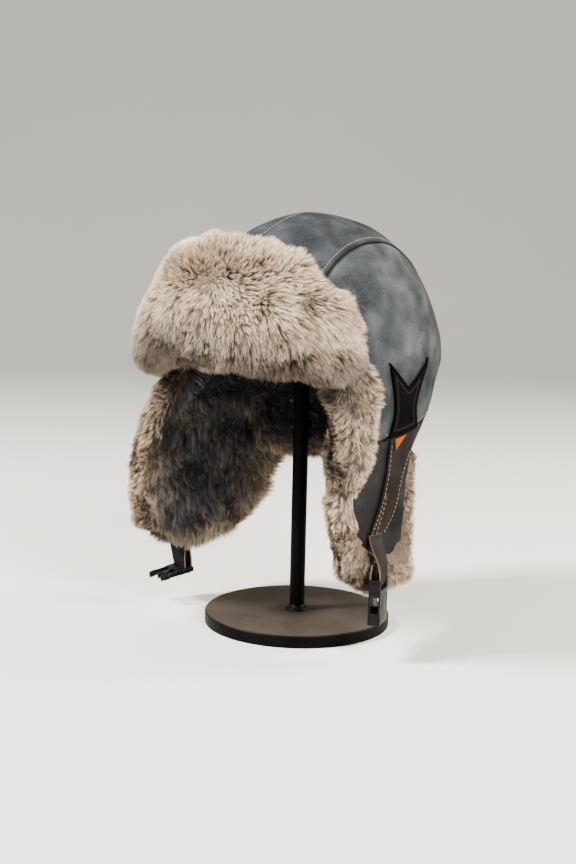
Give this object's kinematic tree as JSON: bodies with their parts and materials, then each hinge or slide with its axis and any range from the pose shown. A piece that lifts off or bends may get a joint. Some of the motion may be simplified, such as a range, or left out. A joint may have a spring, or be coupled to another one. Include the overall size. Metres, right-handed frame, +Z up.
{
  "type": "earflap cap on a hat stand",
  "caption": "Suede earflap cap lined with deep fur, with a turned-up fur brim, ear flaps and chin straps ending in a side-release buckle, resting on a plain round-footed hat stand.",
  "frame": {"origin": "centre of the stand's foot disc, on the surface that it stands on", "axes": "+Z up along the post, -Y towards the face opening, +X towards the wearer's left ear"},
  "size_m": [0.2429, 0.2644, 0.33],
  "materials": {
    "suede": "napped slate-grey suede, softly mottled",
    "fur": "deep faux fur, beige tips over grey-brown roots",
    "lining": "faux fur lining",
    "leather": "dark leather with tan edges and stitching",
    "tag": "plain orange woven tag",
    "plastic": "black moulded plastic",
    "steel": "black powder coat"
  },
  "bodies": {
    "root": {"stand": "steel", "stand_head": "plastic", "crown_centre_panel": "suede", "crown_side_left": "suede", "crown_side_right": "suede", "ear_flap_left": "suede", "ear_flap_right": "suede", "nape_panel": "suede", "crown_lining": "lining", "ear_flap_fur_left": "fur", "ear_flap_fur_right": "fur", "nape_fur": "fur", "brim_backing": "suede", "brim_fur": "fur", "ear_yoke_left": "leather", "ear_yoke_right": "leather", "ear_tab_left": "leather", "ear_tab_right": "leather", "chin_strap_left": "leather", "chin_strap_right": "leather", "buckle_socket": "plastic", "buckle_plug": "plastic", "tag_left": "tag"}
  },
  "joints": []
}
